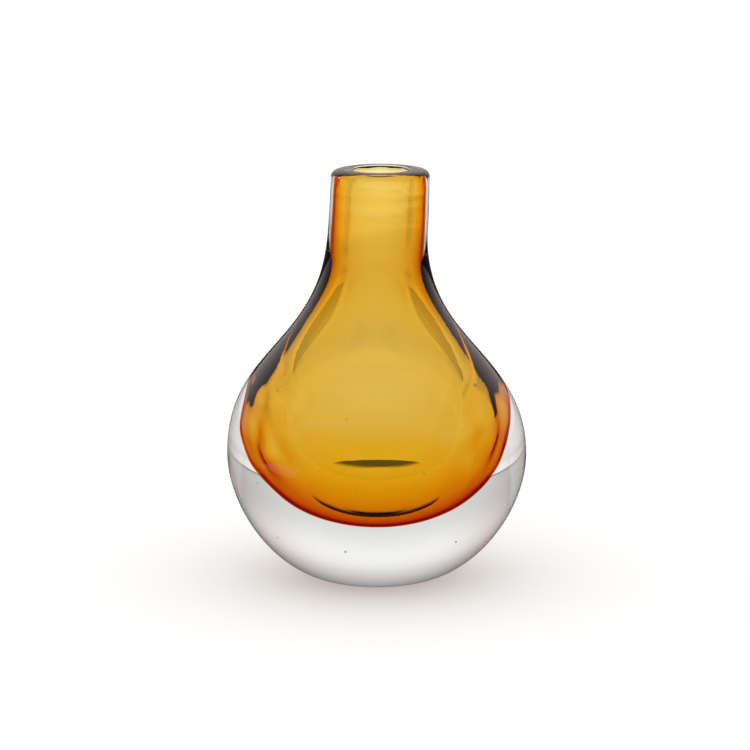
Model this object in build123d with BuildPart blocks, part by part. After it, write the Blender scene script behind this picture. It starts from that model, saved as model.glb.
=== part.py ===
"""Glass bud vase: a thin amber bubble cased in thick clear glass.

Two pieces, both turned about +Z and fused face to face over the whole of
their shared skin.  Millimetres, +Z up.  The origin is the centre of the
flat that the vase stands on.
"""
from build123d import *
import os

os.makedirs("parts", exist_ok=True)

# Outside of the clear casing
overall_height = 150.0      # table to the crown of the rim
body_radius = 54.5          # widest ring of the body
body_widest_height = 46.0   # height of that ring
base_flat_radius = 18.0     # flat ground under the body, the vase rests on it
base_flare_radius = 37.5    # how far out the underside runs before it climbs
base_flare_height = 2.4     # height of the underside at that radius
neck_radius = 18.0          # outside of the neck where the shoulder ends
neck_length = 21.5          # crown of the rim down to the end of the shoulder
rim_radius = 17.7           # outside of the neck just under the rim

# Fire-polished rim
rim_crown_radius = 11.2     # ring of the highest points
rim_outer_drop = 2.4        # height of the rounding on the outside
rim_inner_drop = 0.4        # height of the rounding into the mouth

# Hollow of the amber bubble
mouth_radius = 10.5         # bore at the foot of the inner rounding
bore_radius = 10.6          # bore at the root of the neck
bore_length = 33.0          # crown of the rim down to where the bore flares
bulb_radius = 34.8          # widest ring of the hollow
bulb_height = 58.0          # height of that ring
floor_thickness = 29.6      # all the glass under the hollow, amber and clear

# Thickness of the amber glass between the hollow and the clear casing
amber_rim_thickness = 0.5   # at its upper edge
amber_neck_thickness = 0.75 # at the root of the neck
amber_wall_thickness = 0.6  # round the widest ring
amber_floor_thickness = 0.6 # under the hollow
amber_edge_drop = 0.7       # crown of the rim down to the amber's upper edge

# Fullness of the blown curves: the share of a span that a curve runs
# straight on from its end before it turns
body_low_fullness = 0.435
shoulder_low_fullness = 0.455
shoulder_high_fullness = 0.515
hollow_low_fullness = 0.617
hollow_floor_fullness = 0.555
amber_floor_fullness = 0.565
hollow_shoulder_low_fullness = 0.33
hollow_shoulder_high_fullness = 0.405
rim_fullness = 0.72         # outer corner of the rim, squarer than an ellipse
round_fullness = 0.5523     # a quarter ellipse


def climb(low, high, low_fullness, high_fullness):
    """Curve from a vertical start at `low` to a vertical end at `high`."""
    rise = high[1] - low[1]
    return (
        low,
        (low[0], low[1] + low_fullness * rise),
        (high[0], high[1] - high_fullness * rise),
        high,
    )


def bowl(side, floor, side_fullness, floor_fullness):
    """Curve from a vertical wall at `side` down to a level floor on the axis."""
    drop = side[1] - floor[1]
    return (
        side,
        (side[0], side[1] - side_fullness * drop),
        (floor_fullness * side[0], floor[1]),
        floor,
    )


def corner(side, top, fullness):
    """Rounded corner from a vertical start at `side` to a level end at `top`."""
    return (
        side,
        (side[0], side[1] + fullness * (top[1] - side[1])),
        (top[0] + fullness * (side[0] - top[0]), top[1]),
        top,
    )


# Stations of the outside
foot = (base_flat_radius, 0)
widest = (body_radius, body_widest_height)
neck_root = (neck_radius, overall_height - neck_length)
rim_side = (rim_radius, overall_height - rim_outer_drop)
crown = (rim_crown_radius, overall_height)
underside = (
    foot,
    (base_flare_radius, base_flare_height),
    (body_radius, body_widest_height * (1 - body_low_fullness)),
    widest,
)

# Stations of the hollow
mouth = (mouth_radius, overall_height - rim_inner_drop)
bore_root = (bore_radius, overall_height - bore_length)
bulb = (bulb_radius, bulb_height)
hollow_floor = (0, floor_thickness)

# The bore tapers evenly, and the amber ends part way down that taper
taper_share = (amber_edge_drop - rim_inner_drop) / (bore_length - rim_inner_drop)
edge_height = overall_height - amber_edge_drop
edge_in = (mouth_radius + taper_share * (bore_radius - mouth_radius), edge_height)

# Stations of the skin where amber and clear glass are fused
edge_out = (edge_in[0] + amber_rim_thickness, edge_height)
skin_root = (bore_radius + amber_neck_thickness, overall_height - bore_length)
skin_bulb = (bulb_radius + amber_wall_thickness, bulb_height)
skin_floor = (0, floor_thickness - amber_floor_thickness)

skin_shoulder = climb(
    skin_bulb, skin_root, hollow_shoulder_low_fullness, hollow_shoulder_high_fullness
)
skin_bowl = bowl(skin_bulb, skin_floor, hollow_low_fullness, amber_floor_fullness)

# Clear casing: heavy base, thick wall, neck and rounded rim
with BuildPart() as clear_casing:
    with BuildSketch(Plane.XZ) as casing_section:
        with BuildLine() as casing_outline:
            Line((0, 0), foot)
            Bezier(*underside)
            Bezier(*climb(widest, neck_root, shoulder_low_fullness, shoulder_high_fullness))
            Line(neck_root, rim_side)
            Bezier(*corner(rim_side, crown, rim_fullness))
            Bezier(*corner(mouth, crown, round_fullness))
            Line(mouth, edge_in)
            Line(edge_in, edge_out)
            Line(edge_out, skin_root)
            Bezier(*skin_shoulder)
            Bezier(*skin_bowl)
            Line(skin_floor, (0, 0))
        make_face()
    revolve(axis=Axis.Z)
clear_casing.part.label = "clear_casing"

# Amber liner: the blown bubble, one thin skin round the hollow
with BuildPart() as amber_liner:
    with BuildSketch(Plane.XZ) as liner_section:
        with BuildLine() as liner_outline:
            Line(skin_floor, hollow_floor)
            Bezier(*bowl(bulb, hollow_floor, hollow_low_fullness, hollow_floor_fullness))
            Bezier(
                *climb(
                    bulb,
                    bore_root,
                    hollow_shoulder_low_fullness,
                    hollow_shoulder_high_fullness,
                )
            )
            Line(bore_root, edge_in)
            Line(edge_in, edge_out)
            Line(edge_out, skin_root)
            Bezier(*skin_shoulder)
            Bezier(*skin_bowl)
        make_face()
    revolve(axis=Axis.Z)
amber_liner.part.label = "amber_liner"

export_step(clear_casing.part, "parts/clear_casing.step")
export_step(amber_liner.part, "parts/amber_liner.step")

for piece in (clear_casing.part, amber_liner.part):
    print(piece.label, round(piece.volume / 1000, 1), "cm3", round(piece.volume * 0.0025), "g")
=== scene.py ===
import math
import bmesh
import bpy
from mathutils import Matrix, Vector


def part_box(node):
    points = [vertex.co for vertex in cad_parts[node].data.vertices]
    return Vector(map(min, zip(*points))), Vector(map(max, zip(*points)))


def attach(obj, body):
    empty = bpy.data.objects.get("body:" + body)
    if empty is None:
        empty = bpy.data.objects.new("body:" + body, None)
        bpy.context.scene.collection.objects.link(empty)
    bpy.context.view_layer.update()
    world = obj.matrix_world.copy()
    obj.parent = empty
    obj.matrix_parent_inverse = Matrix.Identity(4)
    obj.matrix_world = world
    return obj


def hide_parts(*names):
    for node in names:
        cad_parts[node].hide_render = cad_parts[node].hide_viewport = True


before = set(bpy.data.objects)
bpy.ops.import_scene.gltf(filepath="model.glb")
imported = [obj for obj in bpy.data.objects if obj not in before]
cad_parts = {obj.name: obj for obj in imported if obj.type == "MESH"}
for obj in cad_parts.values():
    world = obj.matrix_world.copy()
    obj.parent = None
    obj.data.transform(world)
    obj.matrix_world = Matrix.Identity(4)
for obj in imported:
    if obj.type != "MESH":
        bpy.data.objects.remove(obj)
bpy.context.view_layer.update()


# ---------------------------------------------------------------- clear casing
# The outer gather of clear soda-lime glass: heavy base, thick round wall, neck
# and rolled rim.  It was blown over the amber bubble and fused to it, and its
# foot was ground flat.  The rim was softened in the flame.

MM = 0.001
low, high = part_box("clear_casing")
height = round((high.z - low.z) / MM, 1)   # 150 mm, and all sizes below are in millimetres
body_radius = 54.5
widest_height = 46.0
foot_radius = 18.0
flare_radius, flare_height = 37.5, 2.4
neck_radius, neck_length = 18.0, 21.5
rim_radius = 17.7
crown_radius = 11.2
rim_outer_drop, rim_inner_drop = 2.4, 0.4
mouth_radius = 10.5
bore_radius, bore_length = 10.6, 33.0
bulb_radius, bulb_height = 34.8, 58.0
floor_thickness = 29.6
amber_rim, amber_neck, amber_wall, amber_floor = 0.5, 0.75, 0.6, 0.6
amber_edge_drop = 0.7

# Fullness of the blown curves: the share of a span that a curve runs straight
# on from its end before it turns
underside_share = 0.435
shoulder_low_share, shoulder_high_share = 0.455, 0.515
hollow_low_share, hollow_high_share = 0.33, 0.405
bulb_share, hollow_floor_share, amber_floor_share = 0.617, 0.555, 0.565
rim_share, round_share = 0.72, 0.5523

# Rings of faces along each stretch
foot_rings, underside_rings, outer_shoulder_rings, neck_rings = 8, 64, 84, 12
rim_rings, lip_rings = 14, 8
bore_rings, shoulder_rings, bulb_rings = 34, 84, 62


def curve(a, b, c, d, steps):
    """Points along one cubic curve, both ends included."""
    points = []
    for i in range(steps + 1):
        t = i / steps
        s = 1 - t
        weights = (s * s * s, 3 * s * s * t, 3 * s * t * t, t * t * t)
        points.append(tuple(sum(w * p[k] for w, p in zip(weights, (a, b, c, d))) for k in (0, 1)))
    return points


def climb(low_end, high_end, low_share, high_share, steps):
    """From a vertical start to a vertical end higher up."""
    rise = high_end[1] - low_end[1]
    return curve(
        low_end,
        (low_end[0], low_end[1] + low_share * rise),
        (high_end[0], high_end[1] - high_share * rise),
        high_end,
        steps,
    )


def bowl(side, floor, side_share, floor_share, steps):
    """From a vertical wall down to a level floor on the axis."""
    drop = side[1] - floor[1]
    return curve(
        side,
        (side[0], side[1] - side_share * drop),
        (floor_share * side[0], floor[1]),
        floor,
        steps,
    )


def quarter(side, top, share, steps):
    """Rounded corner from a vertical start to a level end, squarer as `share` grows."""
    return curve(
        side,
        (side[0], side[1] + share * (top[1] - side[1])),
        (top[0] + share * (side[0] - top[0]), top[1]),
        top,
        steps,
    )


def straight(a, b, steps):
    """Points along a straight line, both ends included."""
    return [tuple(a[k] + (b[k] - a[k]) * i / steps for k in (0, 1)) for i in range(steps + 1)]


def skin(inset):
    """The fused skin from the amber's upper edge down to the axis, moved in by `inset`."""
    edge = (edge_in[0] + amber_rim - inset, edge_in[1] - inset)
    root = (bore_radius + amber_neck - inset, height - bore_length)
    side = (bulb_radius + amber_wall - inset, bulb_height)
    floor = (0.0, floor_thickness - amber_floor + inset)
    return (
        straight(edge, root, bore_rings)[:-1]
        + climb(side, root, hollow_low_share, hollow_high_share, shoulder_rings)[::-1][:-1]
        + bowl(side, floor, bulb_share, amber_floor_share, bulb_rings)
    )


taper = (amber_edge_drop - rim_inner_drop) / (bore_length - rim_inner_drop)
edge_in = (mouth_radius + taper * (bore_radius - mouth_radius), height - amber_edge_drop)
mouth = (mouth_radius, height - rim_inner_drop)
crown = (crown_radius, height)
rim_side = (rim_radius, height - rim_outer_drop)
neck_root = (neck_radius, height - neck_length)
widest = (body_radius, widest_height)

outside = (
    straight((0.0, 0.0), (foot_radius, 0.0), foot_rings)[:-1]
    + curve(
        (foot_radius, 0.0),
        (flare_radius, flare_height),
        (body_radius, widest_height * (1 - underside_share)),
        widest,
        underside_rings,
    )[:-1]
    + climb(widest, neck_root, shoulder_low_share, shoulder_high_share, outer_shoulder_rings)[:-1]
    + straight(neck_root, rim_side, neck_rings)[:-1]
    + quarter(rim_side, crown, rim_share, rim_rings)[:-1]
    + quarter(mouth, crown, round_share, lip_rings)[::-1]
)


def outline_object(name, *stretches):
    """The half section as a chain of points.  Each is marked by where it lies:
    0 on the outside, 0.5 on the wall of the hollow, 1 on the fused skin."""
    points = [p + (mark,) for mark, stretch in stretches for p in stretch]
    mesh = bpy.data.meshes.new(name)
    mesh.from_pydata(
        [(r * MM, 0.0, z * MM) for r, z, _ in points],
        [(i, i + 1) for i in range(len(points) - 1)],
        [],
    )
    mesh.attributes.new("place", "FLOAT", "POINT").data.foreach_set("value", [p[2] for p in points])
    obj = bpy.data.objects.new(name, mesh)
    bpy.context.scene.collection.objects.link(obj)
    return obj


def add(tree, kind, values=(), links=(), **settings):
    """A node with its settings, its plain values and its links."""
    node = tree.nodes.new(kind)
    for key, value in settings.items():
        setattr(node, key, value)
    for key, value in dict(values).items():
        node.inputs[key].default_value = value
    for key, socket in dict(links).items():
        tree.links.new(socket, node.inputs[key])
    return node


# Both glasses are spun about the same axis, so one tree turns either outline:
# a grid with a column for each spoke is laid along the outline and wrapped
# round the axis, and its seam and its ends on the axis are closed.
turning = bpy.data.node_groups.new("turning_on_the_iron", "GeometryNodeTree")
for name, kind in (
    ("Outline", "NodeSocketGeometry"),
    ("Spokes", "NodeSocketInt"),
    ("Neck drift", "NodeSocketFloat"),
    ("Skin lumps", "NodeSocketFloat"),
    ("Bore ripple", "NodeSocketFloat"),
    ("Edge wander", "NodeSocketFloat"),
    ("Rim waver", "NodeSocketFloat"),
    ("Glass", "NodeSocketMaterial"),
):
    turning.interface.new_socket(name, in_out="INPUT", socket_type=kind)
turning.interface.new_socket("Turned", in_out="OUTPUT", socket_type="NodeSocketGeometry")
seam_reach = 0.001 * MM
t = turning
given = add(t, "NodeGroupInput").outputs
size = add(t, "GeometryNodeAttributeDomainSize", links={"Geometry": given["Outline"]})
wrap = add(t, "ShaderNodeMath", {1: 1.0}, {0: given["Spokes"]}, operation="ADD")
grid = add(
    t,
    "GeometryNodeMeshGrid",
    links={"Vertices X": wrap.outputs[0], "Vertices Y": size.outputs["Point Count"]},
)
index = add(t, "GeometryNodeInputIndex")
station = add(
    t,
    "FunctionNodeIntegerMath",
    links={0: index.outputs[0], 1: size.outputs["Point Count"]},
    operation="MODULO",
)
spoke = add(
    t,
    "FunctionNodeIntegerMath",
    links={0: index.outputs[0], 1: size.outputs["Point Count"]},
    operation="DIVIDE_FLOOR",
)
place = add(
    t,
    "GeometryNodeSampleIndex",
    links={
        "Geometry": given["Outline"],
        "Value": add(t, "GeometryNodeInputPosition").outputs[0],
        "Index": station.outputs[0],
    },
    data_type="FLOAT_VECTOR",
)
place_mark = add(
    t,
    "GeometryNodeSampleIndex",
    links={
        "Geometry": given["Outline"],
        "Value": add(
            t, "GeometryNodeInputNamedAttribute", {"Name": "place"}, data_type="FLOAT"
        ).outputs[0],
        "Index": station.outputs[0],
    },
    data_type="FLOAT",
)
share = add(
    t, "ShaderNodeMath", links={0: spoke.outputs[0], 1: given["Spokes"]}, operation="DIVIDE"
)
angle = add(t, "ShaderNodeMath", {1: math.tau}, {0: share.outputs[0]}, operation="MULTIPLY")
turned = add(
    t,
    "ShaderNodeVectorRotate",
    links={"Vector": place.outputs[0], "Angle": angle.outputs[0]},
    rotation_type="Z_AXIS",
)
round_shape = add(
    t,
    "GeometryNodeSetPosition",
    links={"Geometry": grid.outputs[0], "Position": turned.outputs[0]},
)
marked = add(
    t,
    "GeometryNodeStoreNamedAttribute",
    {"Name": "place"},
    {"Geometry": round_shape.outputs[0], "Value": place_mark.outputs[0]},
    data_type="FLOAT",
    domain="POINT",
)
closed = add(
    t, "GeometryNodeMergeByDistance", {"Distance": seam_reach}, {"Geometry": marked.outputs[0]}
)

# What the hand leaves in the glass: the inner skins are lumpy, the bore has
# faint rings, the amber's upper edge wanders, the rim wavers and the neck leans.
here = add(t, "GeometryNodeInputPosition")
parts = add(t, "ShaderNodeSeparateXYZ", links={0: here.outputs[0]})
flat = add(
    t, "ShaderNodeVectorMath", {1: (1.0, 1.0, 0.0)}, {0: here.outputs[0]}, operation="MULTIPLY"
)
outward = add(t, "ShaderNodeVectorMath", links={0: flat.outputs[0]}, operation="NORMALIZE")
skin_here = add(t, "GeometryNodeInputNamedAttribute", {"Name": "place"}, data_type="FLOAT")
# 0 on the outside and 1 on both inner skins
inside = add(
    t, "ShaderNodeMath", {1: 2.0}, {0: skin_here.outputs[0]}, operation="MULTIPLY", use_clamp=True
)

# Lumps about 10 mm apart on the flanks of the bowl.  The middle of its front
# and back is smooth, and the lumps die out up the shoulder.
lumps_per_metre = 95.0
smooth_middle, lumpy_flank = 16 * MM, 34 * MM
lumps_full, lumps_gone, lumps_left = 50 * MM, 78 * MM, 0.05
low_down = add(
    t,
    "ShaderNodeMapRange",
    {"From Min": lumps_full, "From Max": lumps_gone, "To Min": 1.0, "To Max": lumps_left},
    {"Value": parts.outputs["Z"]},
    interpolation_type="SMOOTHSTEP",
)
lump_noise = add(
    t,
    "ShaderNodeTexNoise",
    {"Scale": lumps_per_metre, "Detail": 0.3, "Roughness": 0.4},
    {"Vector": here.outputs[0]},
    noise_dimensions="3D",
)
lump = add(t, "ShaderNodeMath", {1: 0.5}, {0: lump_noise.outputs[0]}, operation="SUBTRACT")
off_line = add(t, "ShaderNodeMath", links={0: parts.outputs["X"]}, operation="ABSOLUTE")
off_middle = add(
    t,
    "ShaderNodeMapRange",
    {"From Min": smooth_middle, "From Max": lumpy_flank},
    {"Value": off_line.outputs[0]},
    interpolation_type="SMOOTHSTEP",
)
lump_off = add(
    t,
    "ShaderNodeMath",
    links={0: lump.outputs[0], 1: off_middle.outputs[0]},
    operation="MULTIPLY",
)
lump_most = add(
    t,
    "ShaderNodeMath",
    links={0: lump_off.outputs[0], 1: given["Skin lumps"]},
    operation="MULTIPLY",
)
lump_size = add(
    t,
    "ShaderNodeMath",
    links={0: lump_most.outputs[0], 1: low_down.outputs[0]},
    operation="MULTIPLY",
)

# Rings about 2.4 mm apart, left by the turning, on the neck's inner wall.
rings_per_metre, ring_breaks_per_metre = 420.0, 30.0
rings_start, rings_full = 122 * MM, 136 * MM
wall_mark, half_way = 0.5, 0.75
stretched = add(
    t,
    "ShaderNodeVectorMath",
    {1: (ring_breaks_per_metre, ring_breaks_per_metre, rings_per_metre)},
    {0: here.outputs[0]},
    operation="MULTIPLY",
)
ring_noise = add(
    t,
    "ShaderNodeTexNoise",
    {"Scale": 1.0, "Detail": 1.0},
    {"Vector": stretched.outputs[0]},
    noise_dimensions="3D",
)
ring = add(t, "ShaderNodeMath", {1: 0.5}, {0: ring_noise.outputs[0]}, operation="SUBTRACT")
in_neck = add(
    t,
    "ShaderNodeMapRange",
    {"From Min": rings_start, "From Max": rings_full},
    {"Value": parts.outputs["Z"]},
    interpolation_type="SMOOTHSTEP",
)
ring_most = add(
    t,
    "ShaderNodeMath",
    links={0: ring.outputs[0], 1: given["Bore ripple"]},
    operation="MULTIPLY",
)
on_hollow = add(
    t,
    "ShaderNodeMapRange",
    {"From Min": wall_mark, "From Max": half_way, "To Min": 1.0, "To Max": 0.0},
    {"Value": skin_here.outputs[0]},
)
ring_neck = add(
    t,
    "ShaderNodeMath",
    links={0: ring_most.outputs[0], 1: in_neck.outputs[0]},
    operation="MULTIPLY",
)
ring_size = add(
    t,
    "ShaderNodeMath",
    links={0: ring_neck.outputs[0], 1: on_hollow.outputs[0]},
    operation="MULTIPLY",
)

# Lumps and rings push both inner skins in or out, and stop short of the rim.
even_from, even_by = 143 * MM, 149 * MM
under_rim = add(
    t,
    "ShaderNodeMapRange",
    {"From Min": even_from, "From Max": even_by, "To Min": 1.0, "To Max": 0.0},
    {"Value": parts.outputs["Z"]},
    interpolation_type="SMOOTHSTEP",
)
uneven = add(
    t,
    "ShaderNodeMath",
    links={0: lump_size.outputs[0], 1: ring_size.outputs[0]},
    operation="ADD",
)
moved = add(
    t,
    "ShaderNodeMath",
    links={0: uneven.outputs[0], 1: under_rim.outputs[0]},
    operation="MULTIPLY",
)
moved_in = add(
    t, "ShaderNodeMath", links={0: moved.outputs[0], 1: inside.outputs[0]}, operation="MULTIPLY"
)
push = add(
    t,
    "ShaderNodeVectorMath",
    links={0: outward.outputs[0], "Scale": moved_in.outputs[0]},
    operation="SCALE",
)

# The amber's upper edge wanders down in nicks about 6 mm long.
nicks_per_metre = 160.0
edge_zone, edge_full = 145 * MM, 148.5 * MM
edge_middle = 0.72
edge_noise = add(
    t,
    "ShaderNodeTexNoise",
    {"Scale": nicks_per_metre, "Detail": 3.0, "Roughness": 0.6},
    {"Vector": here.outputs[0]},
    noise_dimensions="3D",
)
near_edge = add(
    t,
    "ShaderNodeMapRange",
    {"From Min": edge_zone, "From Max": edge_full},
    {"Value": parts.outputs["Z"]},
    interpolation_type="SMOOTHSTEP",
)
wander = add(
    t, "ShaderNodeMath", {1: edge_middle}, {0: edge_noise.outputs[0]}, operation="SUBTRACT"
)
wander_size = add(
    t,
    "ShaderNodeMath",
    links={0: wander.outputs[0], 1: given["Edge wander"]},
    operation="MULTIPLY",
)
wander_here = add(
    t,
    "ShaderNodeMath",
    links={0: wander_size.outputs[0], 1: near_edge.outputs[0]},
    operation="MULTIPLY",
)
wander_skin = add(
    t,
    "ShaderNodeMath",
    links={0: wander_here.outputs[0], 1: inside.outputs[0]},
    operation="MULTIPLY",
)

# The outer corner of the rim wavers in and out, between the neck and the crown.
corner_start, corner_full = 144.5 * MM, 147.5 * MM
crown_start, crown_full = 148.2 * MM, 149.6 * MM
waver_middle = 0.55
corner_up = add(
    t,
    "ShaderNodeMapRange",
    {"From Min": corner_start, "From Max": corner_full},
    {"Value": parts.outputs["Z"]},
    interpolation_type="SMOOTHSTEP",
)
corner_down = add(
    t,
    "ShaderNodeMapRange",
    {"From Min": crown_start, "From Max": crown_full, "To Min": 1.0, "To Max": 0.0},
    {"Value": parts.outputs["Z"]},
    interpolation_type="SMOOTHSTEP",
)
corner = add(
    t,
    "ShaderNodeMath",
    links={0: corner_up.outputs[0], 1: corner_down.outputs[0]},
    operation="MULTIPLY",
)
outside_here = add(t, "ShaderNodeMath", {0: 1.0}, {1: inside.outputs[0]}, operation="SUBTRACT")
corner_out = add(
    t,
    "ShaderNodeMath",
    links={0: corner.outputs[0], 1: outside_here.outputs[0]},
    operation="MULTIPLY",
)
waver = add(
    t, "ShaderNodeMath", {1: waver_middle}, {0: edge_noise.outputs[0]}, operation="SUBTRACT"
)
waver_size = add(
    t,
    "ShaderNodeMath",
    links={0: waver.outputs[0], 1: given["Rim waver"]},
    operation="MULTIPLY",
)
waver_here = add(
    t,
    "ShaderNodeMath",
    links={0: waver_size.outputs[0], 1: corner_out.outputs[0]},
    operation="MULTIPLY",
)
rim_push = add(
    t,
    "ShaderNodeVectorMath",
    links={0: outward.outputs[0], "Scale": waver_here.outputs[0]},
    operation="SCALE",
)

# The lean at each share of the height, where 0.5 is on the axis: the shoulder
# goes a little to one side and the neck to the other.
on_axis = 0.5
lean = ((0.32, 0.5), (0.55, 0.25), (0.76, 0.44), (0.90, 0.80))
height_share = add(
    t, "ShaderNodeMath", {1: height * MM}, {0: parts.outputs["Z"]}, operation="DIVIDE"
)
drift = add(t, "ShaderNodeFloatCurve", links={"Value": height_share.outputs[0]})
line = drift.mapping.curves[0]
line.points[0].location = (0.0, on_axis)
line.points[1].location = (1.0, 1.0)
for x, y in lean:
    line.points.new(x, y)
drift.mapping.update()
drift_off = add(t, "ShaderNodeMath", {1: on_axis}, {0: drift.outputs[0]}, operation="SUBTRACT")
drift_size = add(
    t,
    "ShaderNodeMath",
    links={0: drift_off.outputs[0], 1: given["Neck drift"]},
    operation="MULTIPLY",
)
sideways = add(
    t, "ShaderNodeCombineXYZ", links={"X": drift_size.outputs[0], "Z": wander_skin.outputs[0]}
)
both = add(
    t,
    "ShaderNodeVectorMath",
    links={0: push.outputs[0], 1: sideways.outputs[0]},
    operation="ADD",
)
total = add(
    t,
    "ShaderNodeVectorMath",
    links={0: both.outputs[0], 1: rim_push.outputs[0]},
    operation="ADD",
)
blown = add(
    t,
    "GeometryNodeSetPosition",
    links={"Geometry": closed.outputs[0], "Offset": total.outputs[0]},
)

# Faces of the fused skin are marked, so that the glasses can leave out the
# bending of light between them.
just_under_fused = 0.999
fused = add(
    t,
    "FunctionNodeCompare",
    {1: just_under_fused},
    {0: add(t, "GeometryNodeInputNamedAttribute", {"Name": "place"}, data_type="FLOAT").outputs[0]},
    data_type="FLOAT",
    operation="GREATER_THAN",
)
faced = add(
    t,
    "GeometryNodeStoreNamedAttribute",
    {"Name": "fused"},
    {"Geometry": blown.outputs[0], "Value": fused.outputs[0]},
    data_type="FLOAT",
    domain="FACE",
)
smooth = add(t, "GeometryNodeSetShadeSmooth", links={"Geometry": faced.outputs[0]})
real = add(t, "GeometryNodeRealizeInstances", links={"Geometry": smooth.outputs[0]})
glazed = add(
    t,
    "GeometryNodeSetMaterial",
    links={"Geometry": real.outputs[0], "Material": given["Glass"]},
)
add(t, "NodeGroupOutput", links={"Turned": glazed.outputs[0]})


def linear(colour):
    """An sRGB hex colour as linear red, green and blue."""
    parts_of = [int(colour[i : i + 2], 16) / 255 for i in (1, 3, 5)]
    return [c / 12.92 if c <= 0.04045 else ((c + 0.055) / 1.055) ** 2.4 for c in parts_of]


# Clear soda-lime glass, blown and fire-polished: a mirror-smooth, faintly wavy
# skin that bends what is behind it, with a breath of green in its depth.  Where
# it is fused to the amber there is no surface to see, so the light goes straight
# on there.  The waves are about 26 mm long, and only the ground foot is matt.
glass_ior = 1.5
waves_per_metre = 38.0
wave_depth = 0.3 * MM
foot_depth, foot_roughness = 0.4 * MM, 0.12
clear_glass = bpy.data.materials.new("soda_lime_glass_fire_polished")
clear_glass.use_nodes = True
m = clear_glass.node_tree
m.nodes.clear()
fused_here = add(m, "ShaderNodeAttribute", attribute_name="fused")
bend = add(
    m,
    "ShaderNodeMath",
    {1: 1.0 - glass_ior, 2: glass_ior},
    {0: fused_here.outputs["Fac"]},
    operation="MULTIPLY_ADD",
)
place_on = add(m, "ShaderNodeTexCoord")
waves = add(
    m,
    "ShaderNodeTexNoise",
    {"Scale": waves_per_metre, "Detail": 1.0, "Roughness": 0.4},
    {"Vector": place_on.outputs["Object"]},
)
skin_bump = add(
    m, "ShaderNodeBump", {"Strength": 0.35, "Distance": wave_depth}, {"Height": waves.outputs[0]}
)
above_foot = add(m, "ShaderNodeSeparateXYZ", links={0: place_on.outputs["Object"]})
ground = add(
    m,
    "ShaderNodeMapRange",
    {"From Min": 0.0, "From Max": foot_depth, "To Min": foot_roughness, "To Max": 0.0},
    {"Value": above_foot.outputs["Z"]},
)
glass = add(
    m,
    "ShaderNodeBsdfPrincipled",
    {"Base Color": (*linear("#ffffff"), 1.0), "Transmission Weight": 1.0},
    {"IOR": bend.outputs[0], "Roughness": ground.outputs[0], "Normal": skin_bump.outputs[0]},
)
depth_tint = add(
    m, "ShaderNodeVolumeAbsorption", {"Color": (*linear("#c9e0cb"), 1.0), "Density": 0.9}
)
add(
    m,
    "ShaderNodeOutputMaterial",
    links={"Surface": glass.outputs[0], "Volume": depth_tint.outputs[0]},
)


def turn(name, outline, glass_material):
    """The outline spun into its piece, as a plain mesh."""
    mod = outline.modifiers.new("turned", "NODES")
    mod.node_group = turning
    ids = {i.name: i.identifier for i in turning.interface.items_tree if i.in_out == "INPUT"}
    for socket, value in (
        ("Spokes", 240),
        ("Neck drift", 2.8 * MM),
        ("Skin lumps", 3.6 * MM),
        ("Bore ripple", 0.3 * MM),
        ("Edge wander", 1.4 * MM),
        ("Rim waver", 1.2 * MM),
        ("Glass", glass_material),
    ):
        mod[ids[socket]] = value
    bpy.context.view_layer.update()
    ready = outline.evaluated_get(bpy.context.evaluated_depsgraph_get())
    mesh = bpy.data.meshes.new_from_object(ready)
    mesh.name = name
    piece = bpy.data.objects.new(name, mesh)
    bpy.context.scene.collection.objects.link(piece)
    bpy.data.objects.remove(outline)
    return piece


casing = turn(
    "clear_casing_glass",
    outline_object("casing_outline", (0.0, outside), (1.0, [edge_in] + skin(0.0))),
    clear_glass,
)

# Seeds: a few pinhead bubbles of gas caught in the clear glass, each one a
# small round hollow, so its faces look inwards.
seed_radius = 0.7 * MM
seeding = bpy.data.node_groups.new("gas_seeds", "GeometryNodeTree")
for name, kind in (
    ("Spots", "NodeSocketGeometry"),
    ("Largest radius", "NodeSocketFloat"),
    ("Glass", "NodeSocketMaterial"),
):
    seeding.interface.new_socket(name, in_out="INPUT", socket_type=kind)
seeding.interface.new_socket("Seeds", in_out="OUTPUT", socket_type="NodeSocketGeometry")
t = seeding
given = add(t, "NodeGroupInput").outputs
ball = add(t, "GeometryNodeMeshIcoSphere", {"Radius": 1.0, "Subdivisions": 3})
hollow_ball = add(t, "GeometryNodeFlipFaces", links={"Mesh": ball.outputs[0]})
share_of = add(t, "GeometryNodeInputNamedAttribute", {"Name": "share"}, data_type="FLOAT")
seed_size = add(
    t,
    "ShaderNodeMath",
    links={0: share_of.outputs[0], 1: given["Largest radius"]},
    operation="MULTIPLY",
)
seeds = add(
    t,
    "GeometryNodeInstanceOnPoints",
    links={
        "Points": given["Spots"],
        "Instance": hollow_ball.outputs[0],
        "Scale": seed_size.outputs[0],
    },
)
real = add(t, "GeometryNodeRealizeInstances", links={"Geometry": seeds.outputs[0]})
smooth = add(t, "GeometryNodeSetShadeSmooth", links={"Geometry": real.outputs[0]})
glazed = add(
    t,
    "GeometryNodeSetMaterial",
    links={"Geometry": smooth.outputs[0], "Material": given["Glass"]},
)
add(t, "NodeGroupOutput", links={"Seeds": glazed.outputs[0]})

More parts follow.
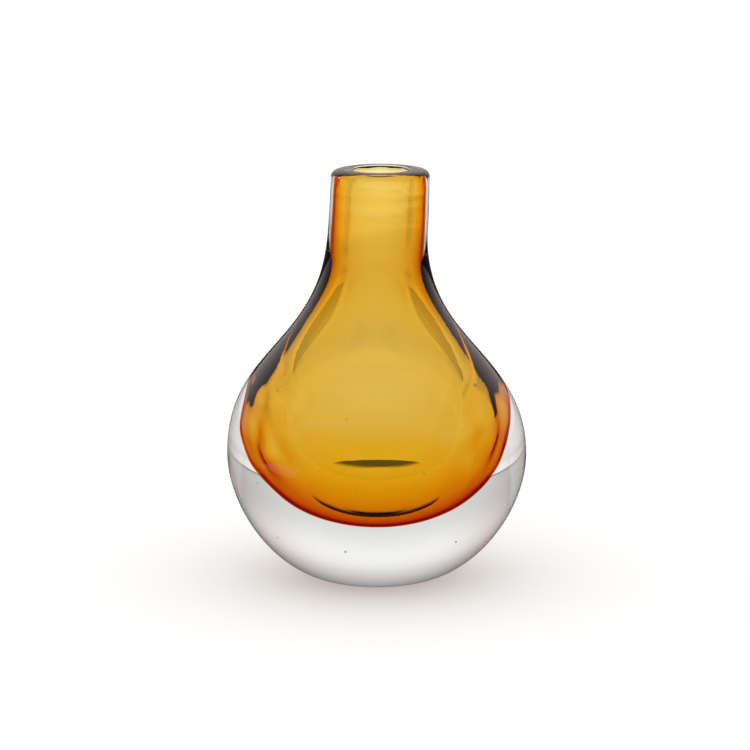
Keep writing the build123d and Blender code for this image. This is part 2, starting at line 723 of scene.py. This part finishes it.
# x, y, z in millimetres, then the size as a share of the largest
seed_spots = (
    (-10.8, -42.0, 20.0, 0.60),
    (-35.0, -30.0, 21.6, 0.50),
    (27.8, -36.5, 21.8, 0.55),
    (-7.0, -48.5, 44.6, 0.40),
    (16.0, -47.0, 49.0, 0.45),
    (34.7, -25.3, 75.8, 1.00),
    (-10.4, -45.0, 67.7, 0.40),
    (-22.4, -44.5, 44.6, 0.35),
    (-41.3, -31.5, 42.0, 0.35),
    (40.5, -33.0, 50.0, 0.40),
    (12.0, 43.0, 24.0, 0.55),
    (-30.0, 34.0, 30.0, 0.45),
    (38.0, 27.0, 58.0, 0.50),
)
spot_mesh = bpy.data.meshes.new("seed_spots")
spot_mesh.from_pydata([tuple(c * MM for c in spot[:3]) for spot in seed_spots], [], [])
shares = spot_mesh.attributes.new("share", "FLOAT", "POINT")
shares.data.foreach_set("value", [spot[3] for spot in seed_spots])
spots = bpy.data.objects.new("seed_spots", spot_mesh)
bpy.context.scene.collection.objects.link(spots)
mod = spots.modifiers.new("seeds", "NODES")
mod.node_group = seeding
ids = {i.name: i.identifier for i in seeding.interface.items_tree if i.in_out == "INPUT"}
mod[ids["Largest radius"]] = seed_radius
mod[ids["Glass"]] = clear_glass
bpy.context.view_layer.update()
ready = spots.evaluated_get(bpy.context.evaluated_depsgraph_get())
seed_mesh = bpy.data.meshes.new_from_object(ready)
joined = bmesh.new()
joined.from_mesh(casing.data)
joined.from_mesh(seed_mesh)
joined.to_mesh(casing.data)
joined.free()
bpy.data.objects.remove(spots)

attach(casing, "root")
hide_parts("clear_casing")


# ----------------------------------------------------------------- amber liner
# The first bubble: a thin skin of amber glass round the air hollow, cased while
# hot.  It stops just inside the rim, where the clear glass rolls over it.

gap = 0.02   # keeps the two fused faces from lying one in the other
bulb = (bulb_radius, bulb_height)
bore_root = (bore_radius, height - bore_length)
hollow_floor = (0.0, floor_thickness)
liner_edge = (edge_in[0], edge_in[1] - gap)
hollow = (
    straight(liner_edge, bore_root, bore_rings)[1:-1]
    + climb(bulb, bore_root, hollow_low_share, hollow_high_share, shoulder_rings)[::-1][:-1]
    + bowl(bulb, hollow_floor, bulb_share, hollow_floor_share, bulb_rings)
)

# Amber soda-lime glass, blown and cased.  It takes out the blue first and then
# the green, so the thin wall is honey yellow and a long way through it is orange
# and then red brown.  Faint cords, about 14 mm long and 6 mm high, lie round
# its hollow.
cords_per_metre, cord_flatness = 70.0, 2.5
cord_depth = 0.2 * MM
amber_glass = bpy.data.materials.new("amber_glass_cased")
amber_glass.use_nodes = True
m = amber_glass.node_tree
m.nodes.clear()
fused_here = add(m, "ShaderNodeAttribute", attribute_name="fused")
bend = add(
    m,
    "ShaderNodeMath",
    {1: 1.0 - glass_ior, 2: glass_ior},
    {0: fused_here.outputs["Fac"]},
    operation="MULTIPLY_ADD",
)
place_on = add(m, "ShaderNodeTexCoord")
drawn = add(
    m,
    "ShaderNodeMapping",
    {"Scale": (1.0, 1.0, cord_flatness)},
    {"Vector": place_on.outputs["Object"]},
)
cords_in_glass = add(
    m,
    "ShaderNodeTexNoise",
    {"Scale": cords_per_metre, "Detail": 2.0, "Roughness": 0.5},
    {"Vector": drawn.outputs[0]},
)
hollow_bump = add(
    m,
    "ShaderNodeBump",
    {"Strength": 0.25, "Distance": cord_depth},
    {"Height": cords_in_glass.outputs[0]},
)
glass = add(
    m,
    "ShaderNodeBsdfPrincipled",
    {"Base Color": (*linear("#ffffff"), 1.0), "Transmission Weight": 1.0, "Roughness": 0.0},
    {"IOR": bend.outputs[0], "Normal": hollow_bump.outputs[0]},
)
amber_tint = add(
    m, "ShaderNodeVolumeAbsorption", {"Color": (*linear("#fae53f"), 1.0), "Density": 2200.0}
)
add(
    m,
    "ShaderNodeOutputMaterial",
    links={"Surface": glass.outputs[0], "Volume": amber_tint.outputs[0]},
)
liner = turn(
    "amber_liner_glass",
    outline_object("liner_outline", (1.0, skin(gap)[::-1] + [liner_edge]), (0.5, hollow)),
    amber_glass,
)

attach(liner, "root")
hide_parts("amber_liner")


# ------------------------------------------------------- table, light and view
# A plain white table in a plain white room with soft even light all round.  The
# glass bends and mirrors more of the room than is seen past it, so the table and
# the room carry what lies out there: a shadow, darker sides and a soft box.

floor_paint = bpy.data.materials.new("matt_white_table")
floor_paint.use_nodes = True
m = floor_paint.node_tree
m.nodes.clear()
rays = add(m, "ShaderNodeLightPath")
spot = add(m, "ShaderNodeNewGeometry")

# Seen through the glass, a dark ring of shadow lies under the foot.  It shows on
# the far half only, and is a little wider across than deep.
ring_radius, ring_squeeze = 23.5 * MM, 0.94
ring_half_width, ring_soft_by = 6.8 * MM, 8.0 * MM
ring_starts, ring_full = 10 * MM, 20 * MM
ring_left = 0.03
flat_spot = add(
    m,
    "ShaderNodeVectorMath",
    {1: (1.0, 1.0, 0.0)},
    {0: spot.outputs["Position"]},
    operation="MULTIPLY",
)
away = add(m, "ShaderNodeVectorMath", links={0: flat_spot.outputs[0]}, operation="LENGTH")
apart = add(m, "ShaderNodeSeparateXYZ", links={0: spot.outputs["Position"]})
squeezed = add(
    m,
    "ShaderNodeVectorMath",
    {1: (ring_squeeze, 1.0, 0.0)},
    {0: spot.outputs["Position"]},
    operation="MULTIPLY",
)
oval = add(m, "ShaderNodeVectorMath", links={0: squeezed.outputs[0]}, operation="LENGTH")
ring_off = add(
    m, "ShaderNodeMath", {1: ring_radius}, {0: oval.outputs["Value"]}, operation="SUBTRACT"
)
ring_near = add(m, "ShaderNodeMath", links={0: ring_off.outputs[0]}, operation="ABSOLUTE")
ring_dark = add(
    m,
    "ShaderNodeMapRange",
    {"From Min": ring_half_width, "From Max": ring_soft_by, "To Min": 1.0, "To Max": 0.0},
    {"Value": ring_near.outputs[0]},
    interpolation_type="SMOOTHSTEP",
)
far_half = add(
    m,
    "ShaderNodeMapRange",
    {"From Min": ring_starts, "From Max": ring_full},
    {"Value": apart.outputs["Y"]},
    interpolation_type="SMOOTHSTEP",
)
crescent = add(
    m,
    "ShaderNodeMath",
    links={0: ring_dark.outputs[0], 1: far_half.outputs[0]},
    operation="MULTIPLY",
)

# The table is a little brighter further off, and dimmer away to either side,
# though not close to the vase.
bright_from, bright_by, near_light, far_light = 550 * MM, 850 * MM, 0.90, 1.06
dim_slant, dimmest_slant, side_left = 0.60, 0.95, 0.76
clear_near, clear_far = 270 * MM, 520 * MM
far_off = add(
    m,
    "ShaderNodeMapRange",
    {"From Min": bright_from, "From Max": bright_by, "To Min": near_light, "To Max": far_light},
    {"Value": away.outputs["Value"]},
    interpolation_type="SMOOTHSTEP",
)
clear_of_it = add(
    m,
    "ShaderNodeMapRange",
    {"From Min": 0.0, "From Max": 1.0, "To Min": 1.0, "To Max": ring_left},
    {"Value": crescent.outputs[0]},
)
under = add(
    m,
    "ShaderNodeMath",
    links={0: far_off.outputs[0], 1: clear_of_it.outputs[0]},
    operation="MULTIPLY",
)
across = add(
    m,
    "ShaderNodeMath",
    links={0: apart.outputs["X"], 1: away.outputs["Value"]},
    operation="DIVIDE",
)
to_side = add(m, "ShaderNodeMath", links={0: across.outputs[0]}, operation="ABSOLUTE")
side_fall = add(
    m,
    "ShaderNodeMapRange",
    {"From Min": dim_slant, "From Max": dimmest_slant, "To Min": 1.0, "To Max": side_left},
    {"Value": to_side.outputs[0]},
    interpolation_type="SMOOTHSTEP",
)
clear_of_vase = add(
    m,
    "ShaderNodeMapRange",
    {"From Min": clear_near, "From Max": clear_far},
    {"Value": away.outputs["Value"]},
    interpolation_type="SMOOTHSTEP",
)
side_here = add(
    m,
    "ShaderNodeMix",
    {2: 1.0},
    {0: clear_of_vase.outputs[0], 3: side_fall.outputs[0]},
    data_type="FLOAT",
)
table_light = add(
    m,
    "ShaderNodeMath",
    links={0: under.outputs[0], 1: side_here.outputs[0]},
    operation="MULTIPLY",
)

# Seen past the glass: white matt paint that keeps the vase's shadow.
matt = add(m, "ShaderNodeBsdfDiffuse", {"Color": (*linear("#e2e2e2"), 1.0)})
lift = add(m, "ShaderNodeEmission", {"Color": (*linear("#ffffff"), 1.0), "Strength": 0.3})
seen = add(m, "ShaderNodeAddShader", links={0: matt.outputs[0], 1: lift.outputs[0]})

# Seen through the glass, the table round the foot is lit yellow by the amber.
glow_full, glow_gone = 40 * MM, 100 * MM
out_of_glow = add(
    m,
    "ShaderNodeMapRange",
    {"From Min": glow_full, "From Max": glow_gone},
    {"Value": away.outputs["Value"]},
    interpolation_type="SMOOTHSTEP",
)
glow = add(
    m,
    "ShaderNodeMix",
    {6: (*linear("#fff066"), 1.0), 7: (*linear("#fffdfb"), 1.0)},
    {0: out_of_glow.outputs[0]},
    data_type="RGBA",
)
through = add(
    m,
    "ShaderNodeEmission",
    links={"Color": glow.outputs[2], "Strength": table_light.outputs[0]},
)
shown = add(
    m,
    "ShaderNodeMixShader",
    links={0: rays.outputs["Is Transmission Ray"], 1: seen.outputs[0], 2: through.outputs[0]},
)
mirrored = add(
    m,
    "ShaderNodeMath",
    links={0: rays.outputs["Is Reflection Ray"], 1: rays.outputs["Is Diffuse Ray"]},
    operation="SUBTRACT",
)

# Mirrored in the glass the table is painted dark, but for one pale card-shaped patch
# of painted reflection that lies at the left, slanting away from the vase.
card_facing, card_run = (0.83, 0.56, 0.0), (0.56, -0.83, 0.0)
card_distance, card_aside = 420 * MM, 111 * MM
card_half_width, card_width_soft = 145 * MM, 155 * MM
card_half_length, card_length_soft = 95 * MM, 105 * MM
painted_glint_strength, mirrored_table = 0.4, 0.04
card_off = add(
    m,
    "ShaderNodeVectorMath",
    {1: card_facing},
    {0: spot.outputs["Position"]},
    operation="DOT_PRODUCT",
)
card_line = add(
    m, "ShaderNodeMath", {1: card_distance}, {0: card_off.outputs["Value"]}, operation="ADD"
)
card_side = add(m, "ShaderNodeMath", links={0: card_line.outputs[0]}, operation="ABSOLUTE")
card_width = add(
    m,
    "ShaderNodeMapRange",
    {"From Min": card_half_width, "From Max": card_width_soft, "To Min": 1.0, "To Max": 0.0},
    {"Value": card_side.outputs[0]},
)
card_along = add(
    m, "ShaderNodeVectorMath", {1: card_run}, {0: spot.outputs["Position"]}, operation="DOT_PRODUCT"
)
card_middle = add(
    m, "ShaderNodeMath", {1: card_aside}, {0: card_along.outputs["Value"]}, operation="ADD"
)
card_end = add(m, "ShaderNodeMath", links={0: card_middle.outputs[0]}, operation="ABSOLUTE")
card_length = add(
    m,
    "ShaderNodeMapRange",
    {"From Min": card_half_length, "From Max": card_length_soft, "To Min": 1.0, "To Max": 0.0},
    {"Value": card_end.outputs[0]},
)
# Painted highlight: the pale card-shaped patch is light painted into the table, seen only where the
# glass mirrors it.
painted_card_glint = add(
    m,
    "ShaderNodeMath",
    links={0: card_width.outputs[0], 1: card_length.outputs[0]},
    operation="MULTIPLY",
)
painted_glint_light = add(
    m,
    "ShaderNodeMath",
    {1: painted_glint_strength, 2: mirrored_table},
    {0: painted_card_glint.outputs[0]},
    operation="MULTIPLY_ADD",
)
# Painted reflection: the glass mirrors this glow, not the table's white paint.
painted_reflection = add(
    m,
    "ShaderNodeEmission",
    {"Color": (*linear("#ffffff"), 1.0)},
    {"Strength": painted_glint_light.outputs[0]},
)
table_top = add(
    m,
    "ShaderNodeMixShader",
    links={0: mirrored.outputs[0], 1: shown.outputs[0], 2: painted_reflection.outputs[0]},
)
add(m, "ShaderNodeOutputMaterial", links={"Surface": table_top.outputs[0]})

reach = 12.0
table_drop = 0.02 * MM
table_mesh = bpy.data.meshes.new("table")
table_mesh.from_pydata(
    [(-reach, -reach, 0), (reach, -reach, 0), (reach, reach, 0), (-reach, reach, 0)],
    [],
    [(0, 1, 2, 3)],
)
table_mesh.materials.append(floor_paint)
table = bpy.data.objects.new("table", table_mesh)
table.location.z = low.z - table_drop
bpy.context.scene.collection.objects.link(table)

# Past the vase the room is plain white.  Through the glass it is whitest about
# 25 degrees up and greyer low down, overhead and to either side, with a dark
# line where it meets the table.  Mirrored in the glass it is dim, and brighter
# at the back.  The pairs are the sine of the angle up and the light there.
room_by_height = (
    (0.008, 0.54),
    (0.02, 0.73),
    (0.12, 0.74),
    (0.20, 0.80),
    (0.30, 0.92),
    (0.42, 1.0),
    (0.60, 0.80),
    (0.80, 0.45),
)
table_line, overhead = 0.38, 0.30
side_start, side_end, room_side_left = 0.30, 0.85, 0.80
back_start, back_end, mirrored_front, mirrored_back = 0.2, 0.9, 0.04, 0.62
room = bpy.data.worlds.new("room")
bpy.context.scene.world = room
room.use_nodes = True
m = room.node_tree
m.nodes.clear()
rays = add(m, "ShaderNodeLightPath")
way = add(m, "ShaderNodeTexCoord")
up = add(m, "ShaderNodeSeparateXYZ", links={0: way.outputs["Generated"]})
above = add(m, "ShaderNodeMath", {1: 0.0}, {0: up.outputs["Z"]}, operation="MAXIMUM")
wall = add(m, "ShaderNodeFloatCurve", links={"Value": above.outputs[0]})
line = wall.mapping.curves[0]
line.points[0].location = (0.0, table_line)
line.points[1].location = (1.0, overhead)
for x, y in room_by_height:
    line.points.new(x, y)
wall.mapping.update()
to_side = add(m, "ShaderNodeMath", links={0: up.outputs["X"]}, operation="ABSOLUTE")
side_fall = add(
    m,
    "ShaderNodeMapRange",
    {"From Min": side_start, "From Max": side_end, "To Min": 1.0, "To Max": room_side_left},
    {"Value": to_side.outputs[0]},
    interpolation_type="SMOOTHSTEP",
)
wall_light = add(
    m,
    "ShaderNodeMath",
    links={0: wall.outputs[0], 1: side_fall.outputs[0]},
    operation="MULTIPLY",
)
through_it = add(
    m,
    "ShaderNodeMix",
    {2: 1.0},
    {0: rays.outputs["Is Transmission Ray"], 3: wall_light.outputs[0]},
    data_type="FLOAT",
)
mirror_only = add(
    m,
    "ShaderNodeMath",
    links={0: rays.outputs["Is Reflection Ray"], 1: rays.outputs["Is Diffuse Ray"]},
    operation="SUBTRACT",
)
behind = add(
    m,
    "ShaderNodeMapRange",
    {
        "From Min": back_start,
        "From Max": back_end,
        "To Min": mirrored_front,
        "To Max": mirrored_back,
    },
    {"Value": up.outputs["Y"]},
    interpolation_type="SMOOTHSTEP",
)
strength = add(
    m,
    "ShaderNodeMix",
    links={0: mirror_only.outputs[0], 2: through_it.outputs[0], 3: behind.outputs[0]},
    data_type="FLOAT",
)
tone = add(
    m,
    "ShaderNodeMix",
    {6: (*linear("#ffffff"), 1.0), 7: (*linear("#fff0eb"), 1.0)},
    {0: mirror_only.outputs[0]},
    data_type="RGBA",
)
sky = add(
    m, "ShaderNodeBackground", links={"Color": tone.outputs[2], "Strength": strength.outputs[0]}
)
add(m, "ShaderNodeOutputWorld", links={"Surface": sky.outputs[0]})

camera = bpy.data.cameras.new("camera")
view = bpy.data.objects.new("camera", camera)
bpy.context.scene.collection.objects.link(view)
bpy.context.scene.camera = view
tilt = math.radians(11.5)
distance = 1.2
aim = (-0.0006, 0.0, 0.0745)
view.location = (aim[0], -distance * math.cos(tilt), aim[2] + distance * math.sin(tilt))
view.rotation_euler = (math.pi / 2 - tilt, 0.0, 0.0)
camera.sensor_width = 36.0
camera.lens = 158.6
camera.clip_end = 50.0

bpy.context.scene.view_settings.view_transform = "Standard"
